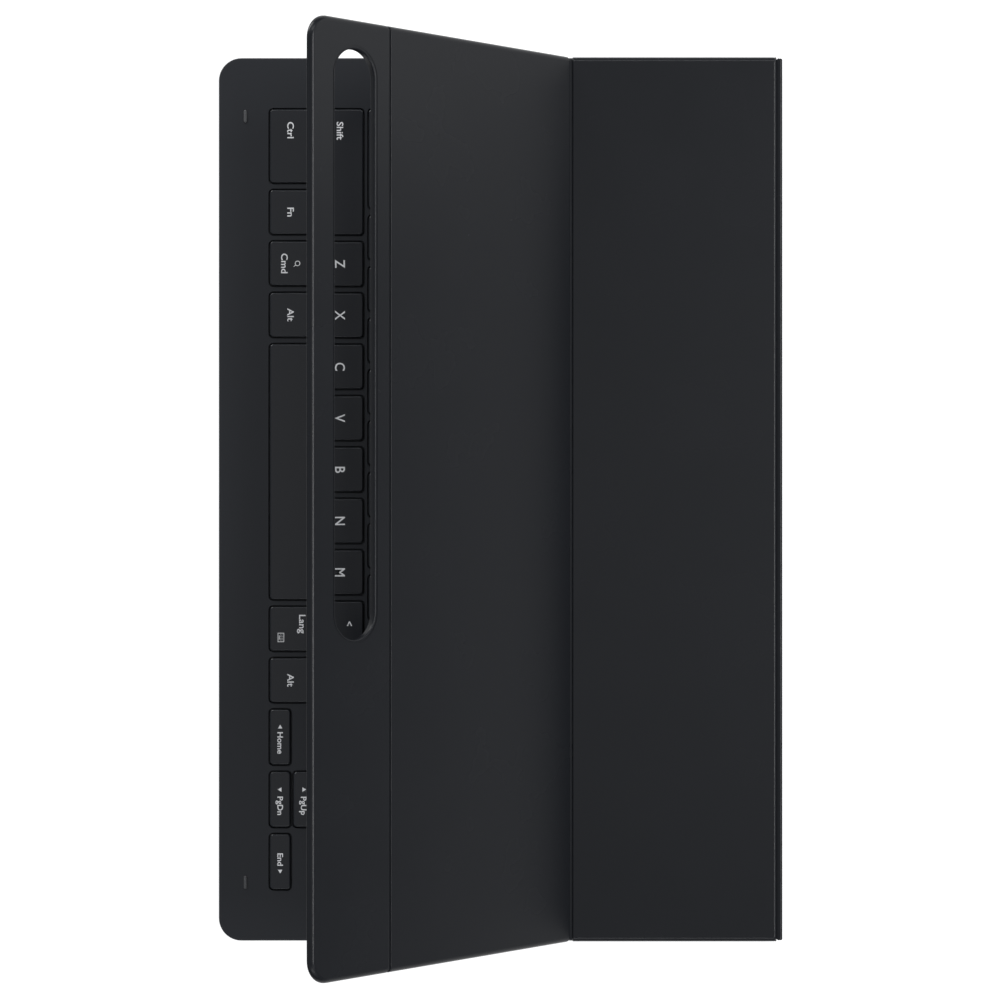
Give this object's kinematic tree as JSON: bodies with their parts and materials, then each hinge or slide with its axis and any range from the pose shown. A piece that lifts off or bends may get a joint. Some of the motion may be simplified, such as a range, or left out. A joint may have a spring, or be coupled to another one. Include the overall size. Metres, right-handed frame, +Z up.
{
  "type": "tablet keyboard case",
  "caption": "Folio case for a large tablet: a thin keyboard deck, a flexible spine and a folding cover with a leg, a main panel and a camera flap with a long rounded slot.",
  "frame": {"origin": "centre of the keyboard deck's underside, where it rests on a table", "axes": "+X along the key rows to the typist's right, +Y from the space bar towards the spine, +Z up out of the keys"},
  "size_m": [0.329, 0.2093, 0.108],
  "materials": {
    "outer_skin": "fine matt coated synthetic skin",
    "soft_lining": "short brushed microfibre",
    "stiff_board": "glass-fibre board",
    "case_plastic": "fine matt moulded plastic",
    "cap_plastic": "matt coated keycap plastic",
    "plate_steel": "thin rolled steel",
    "magnet_metal": "nickel-plated magnet",
    "contact_gold": "gold-plated contact",
    "membrane_film": "dark printed polyester film",
    "dome_rubber": "translucent silicone",
    "bumper_rubber": "soft matt rubber",
    "lever_plastic": "slippery dark lever plastic",
    "circuit_board": "solder mask over board"
  },
  "bodies": {
    "keyboard": {"bottom_skin": "outer_skin", "bottom_cover": "case_plastic", "top_case": "case_plastic", "support_plate": "plate_steel", "membrane_sheet": "membrane_film", "rubber_domes": "dome_rubber", "scissor_levers": "lever_plastic", "stabiliser_bars": "plate_steel", "controller_board": "circuit_board", "ribbon_cable": "membrane_film", "dock_block": "case_plastic", "dock_magnets": "magnet_metal", "screen_bumpers": "bumper_rubber", "case_screws": "plate_steel"},
    "contact_pins": {"contact_pins": "contact_gold"},
    "spine": {"spine_skin": "outer_skin", "spine_core": "stiff_board", "spine_lining": "soft_lining", "deck_hinge_web": "outer_skin"},
    "leg": {"leg_skin": "outer_skin", "leg_board": "stiff_board", "leg_lining": "soft_lining", "leg_hinge_web": "outer_skin", "mid_fold_web": "outer_skin"},
    "main_panel": {"main_skin": "outer_skin", "main_board": "stiff_board", "main_lining": "soft_lining", "main_magnets": "magnet_metal", "flap_fold_web": "outer_skin"},
    "camera_flap": {"flap_skin": "outer_skin", "flap_board": "stiff_board", "flap_lining": "soft_lining", "flap_magnets": "magnet_metal"},
    "key_ctrl": {"key_ctrl": "cap_plastic"},
    "key_fn": {"key_fn": "cap_plastic"},
    "key_cmd": {"key_cmd": "cap_plastic"},
    "key_alt_left": {"key_alt_left": "cap_plastic"},
    "key_space": {"key_space": "cap_plastic"},
    "key_language": {"key_language": "cap_plastic"},
    "key_alt_right": {"key_alt_right": "cap_plastic"},
    "key_left": {"key_left": "cap_plastic"},
    "key_right": {"key_right": "cap_plastic"},
    "key_down": {"key_down": "cap_plastic"},
    "key_up": {"key_up": "cap_plastic"},
    "key_shift_left": {"key_shift_left": "cap_plastic"},
    "key_z": {"key_z": "cap_plastic"},
    "key_x": {"key_x": "cap_plastic"},
    "key_c": {"key_c": "cap_plastic"},
    "key_v": {"key_v": "cap_plastic"},
    "key_b": {"key_b": "cap_plastic"},
    "key_n": {"key_n": "cap_plastic"},
    "key_m": {"key_m": "cap_plastic"},
    "key_comma": {"key_comma": "cap_plastic"},
    "key_period": {"key_period": "cap_plastic"},
    "key_slash": {"key_slash": "cap_plastic"},
    "key_shift_right": {"key_shift_right": "cap_plastic"},
    "home_row_keys": {"home_row_keys": "cap_plastic"},
    "letter_row_keys": {"letter_row_keys": "cap_plastic"},
    "number_row_keys": {"number_row_keys": "cap_plastic"},
    "function_row_keys": {"function_row_keys": "cap_plastic"}
  },
  "joints": [
    {"name": "deck_fold", "type": "hinge", "parent": "keyboard", "child": "spine", "pos_m": [0, 0.105, 0.0015], "axis": [-1, 0, 0], "range_deg": [0, 90], "deforming": ["deck_hinge_web"]},
    {"name": "cover_fold", "type": "hinge", "parent": "spine", "child": "leg", "pos_m": [0, 0.105, 0.0125], "axis": [-1, 0, 0], "range_deg": [0, 90], "deforming": ["leg_hinge_web"]},
    {"name": "mid_fold", "type": "hinge", "parent": "leg", "child": "main_panel", "pos_m": [0, 0.02745, 0.0133], "axis": [-1, 0, 0], "range_deg": [-46.4, 58], "deforming": ["mid_fold_web"]},
    {"name": "flap_fold", "type": "hinge", "parent": "main_panel", "child": "camera_flap", "pos_m": [0, -0.03675, 0.081], "axis": [-1, 0, 0], "range_deg": [0, 90], "deforming": ["flap_fold_web"]},
    {"name": "contact_travel", "type": "slide", "parent": "keyboard", "child": "contact_pins", "axis": [0, 0, -1], "range_m": [0, 0.0005], "stiffness_N_per_m": 800, "springref_m": -0.0006},
    {"name": "press_ctrl", "type": "slide", "parent": "keyboard", "child": "key_ctrl", "axis": [0, 0, -1], "range_m": [0, 0.0012], "stiffness_N_per_m": 300, "springref_m": -0.001},
    {"name": "press_fn", "type": "slide", "parent": "keyboard", "child": "key_fn", "axis": [0, 0, -1], "range_m": [0, 0.0012], "stiffness_N_per_m": 300, "springref_m": -0.001},
    {"name": "press_cmd", "type": "slide", "parent": "keyboard", "child": "key_cmd", "axis": [0, 0, -1], "range_m": [0, 0.0012], "stiffness_N_per_m": 300, "springref_m": -0.001},
    {"name": "press_alt_left", "type": "slide", "parent": "keyboard", "child": "key_alt_left", "axis": [0, 0, -1], "range_m": [0, 0.0012], "stiffness_N_per_m": 300, "springref_m": -0.001},
    {"name": "press_space", "type": "slide", "parent": "keyboard", "child": "key_space", "axis": [0, 0, -1], "range_m": [0, 0.0012], "stiffness_N_per_m": 300, "springref_m": -0.001},
    {"name": "press_language", "type": "slide", "parent": "keyboard", "child": "key_language", "axis": [0, 0, -1], "range_m": [0, 0.0012], "stiffness_N_per_m": 300, "springref_m": -0.001},
    {"name": "press_alt_right", "type": "slide", "parent": "keyboard", "child": "key_alt_right", "axis": [0, 0, -1], "range_m": [0, 0.0012], "stiffness_N_per_m": 300, "springref_m": -0.001},
    {"name": "press_left", "type": "slide", "parent": "keyboard", "child": "key_left", "axis": [0, 0, -1], "range_m": [0, 0.0012], "stiffness_N_per_m": 300, "springref_m": -0.001},
    {"name": "press_right", "type": "slide", "parent": "keyboard", "child": "key_right", "axis": [0, 0, -1], "range_m": [0, 0.0012], "stiffness_N_per_m": 300, "springref_m": -0.001},
    {"name": "press_down", "type": "slide", "parent": "keyboard", "child": "key_down", "axis": [0, 0, -1], "range_m": [0, 0.0012], "stiffness_N_per_m": 300, "springref_m": -0.001},
    {"name": "press_up", "type": "slide", "parent": "keyboard", "child": "key_up", "axis": [0, 0, -1], "range_m": [0, 0.0012], "stiffness_N_per_m": 300, "springref_m": -0.001},
    {"name": "press_shift_left", "type": "slide", "parent": "keyboard", "child": "key_shift_left", "axis": [0, 0, -1], "range_m": [0, 0.0012], "stiffness_N_per_m": 300, "springref_m": -0.001},
    {"name": "press_z", "type": "slide", "parent": "keyboard", "child": "key_z", "axis": [0, 0, -1], "range_m": [0, 0.0012], "stiffness_N_per_m": 300, "springref_m": -0.001},
    {"name": "press_x", "type": "slide", "parent": "keyboard", "child": "key_x", "axis": [0, 0, -1], "range_m": [0, 0.0012], "stiffness_N_per_m": 300, "springref_m": -0.001},
    {"name": "press_c", "type": "slide", "parent": "keyboard", "child": "key_c", "axis": [0, 0, -1], "range_m": [0, 0.0012], "stiffness_N_per_m": 300, "springref_m": -0.001},
    {"name": "press_v", "type": "slide", "parent": "keyboard", "child": "key_v", "axis": [0, 0, -1], "range_m": [0, 0.0012], "stiffness_N_per_m": 300, "springref_m": -0.001},
    {"name": "press_b", "type": "slide", "parent": "keyboard", "child": "key_b", "axis": [0, 0, -1], "range_m": [0, 0.0012], "stiffness_N_per_m": 300, "springref_m": -0.001},
    {"name": "press_n", "type": "slide", "parent": "keyboard", "child": "key_n", "axis": [0, 0, -1], "range_m": [0, 0.0012], "stiffness_N_per_m": 300, "springref_m": -0.001},
    {"name": "press_m", "type": "slide", "parent": "keyboard", "child": "key_m", "axis": [0, 0, -1], "range_m": [0, 0.0012], "stiffness_N_per_m": 300, "springref_m": -0.001},
    {"name": "press_comma", "type": "slide", "parent": "keyboard", "child": "key_comma", "axis": [0, 0, -1], "range_m": [0, 0.0012], "stiffness_N_per_m": 300, "springref_m": -0.001},
    {"name": "press_period", "type": "slide", "parent": "keyboard", "child": "key_period", "axis": [0, 0, -1], "range_m": [0, 0.0012], "stiffness_N_per_m": 300, "springref_m": -0.001},
    {"name": "press_slash", "type": "slide", "parent": "keyboard", "child": "key_slash", "axis": [0, 0, -1], "range_m": [0, 0.0012], "stiffness_N_per_m": 300, "springref_m": -0.001},
    {"name": "press_shift_right", "type": "slide", "parent": "keyboard", "child": "key_shift_right", "axis": [0, 0, -1], "range_m": [0, 0.0012], "stiffness_N_per_m": 300, "springref_m": -0.001},
    {"name": "press_home_row_keys", "type": "slide", "parent": "keyboard", "child": "home_row_keys", "axis": [0, 0, -1], "range_m": [0, 0.0012], "stiffness_N_per_m": 2400, "springref_m": -0.001},
    {"name": "press_letter_row_keys", "type": "slide", "parent": "keyboard", "child": "letter_row_keys", "axis": [0, 0, -1], "range_m": [0, 0.0012], "stiffness_N_per_m": 2400, "springref_m": -0.001},
    {"name": "press_number_row_keys", "type": "slide", "parent": "keyboard", "child": "number_row_keys", "axis": [0, 0, -1], "range_m": [0, 0.0012], "stiffness_N_per_m": 2400, "springref_m": -0.001},
    {"name": "press_function_row_keys", "type": "slide", "parent": "keyboard", "child": "function_row_keys", "axis": [0, 0, -1], "range_m": [0, 0.0012], "stiffness_N_per_m": 2400, "springref_m": -0.001}
  ]
}
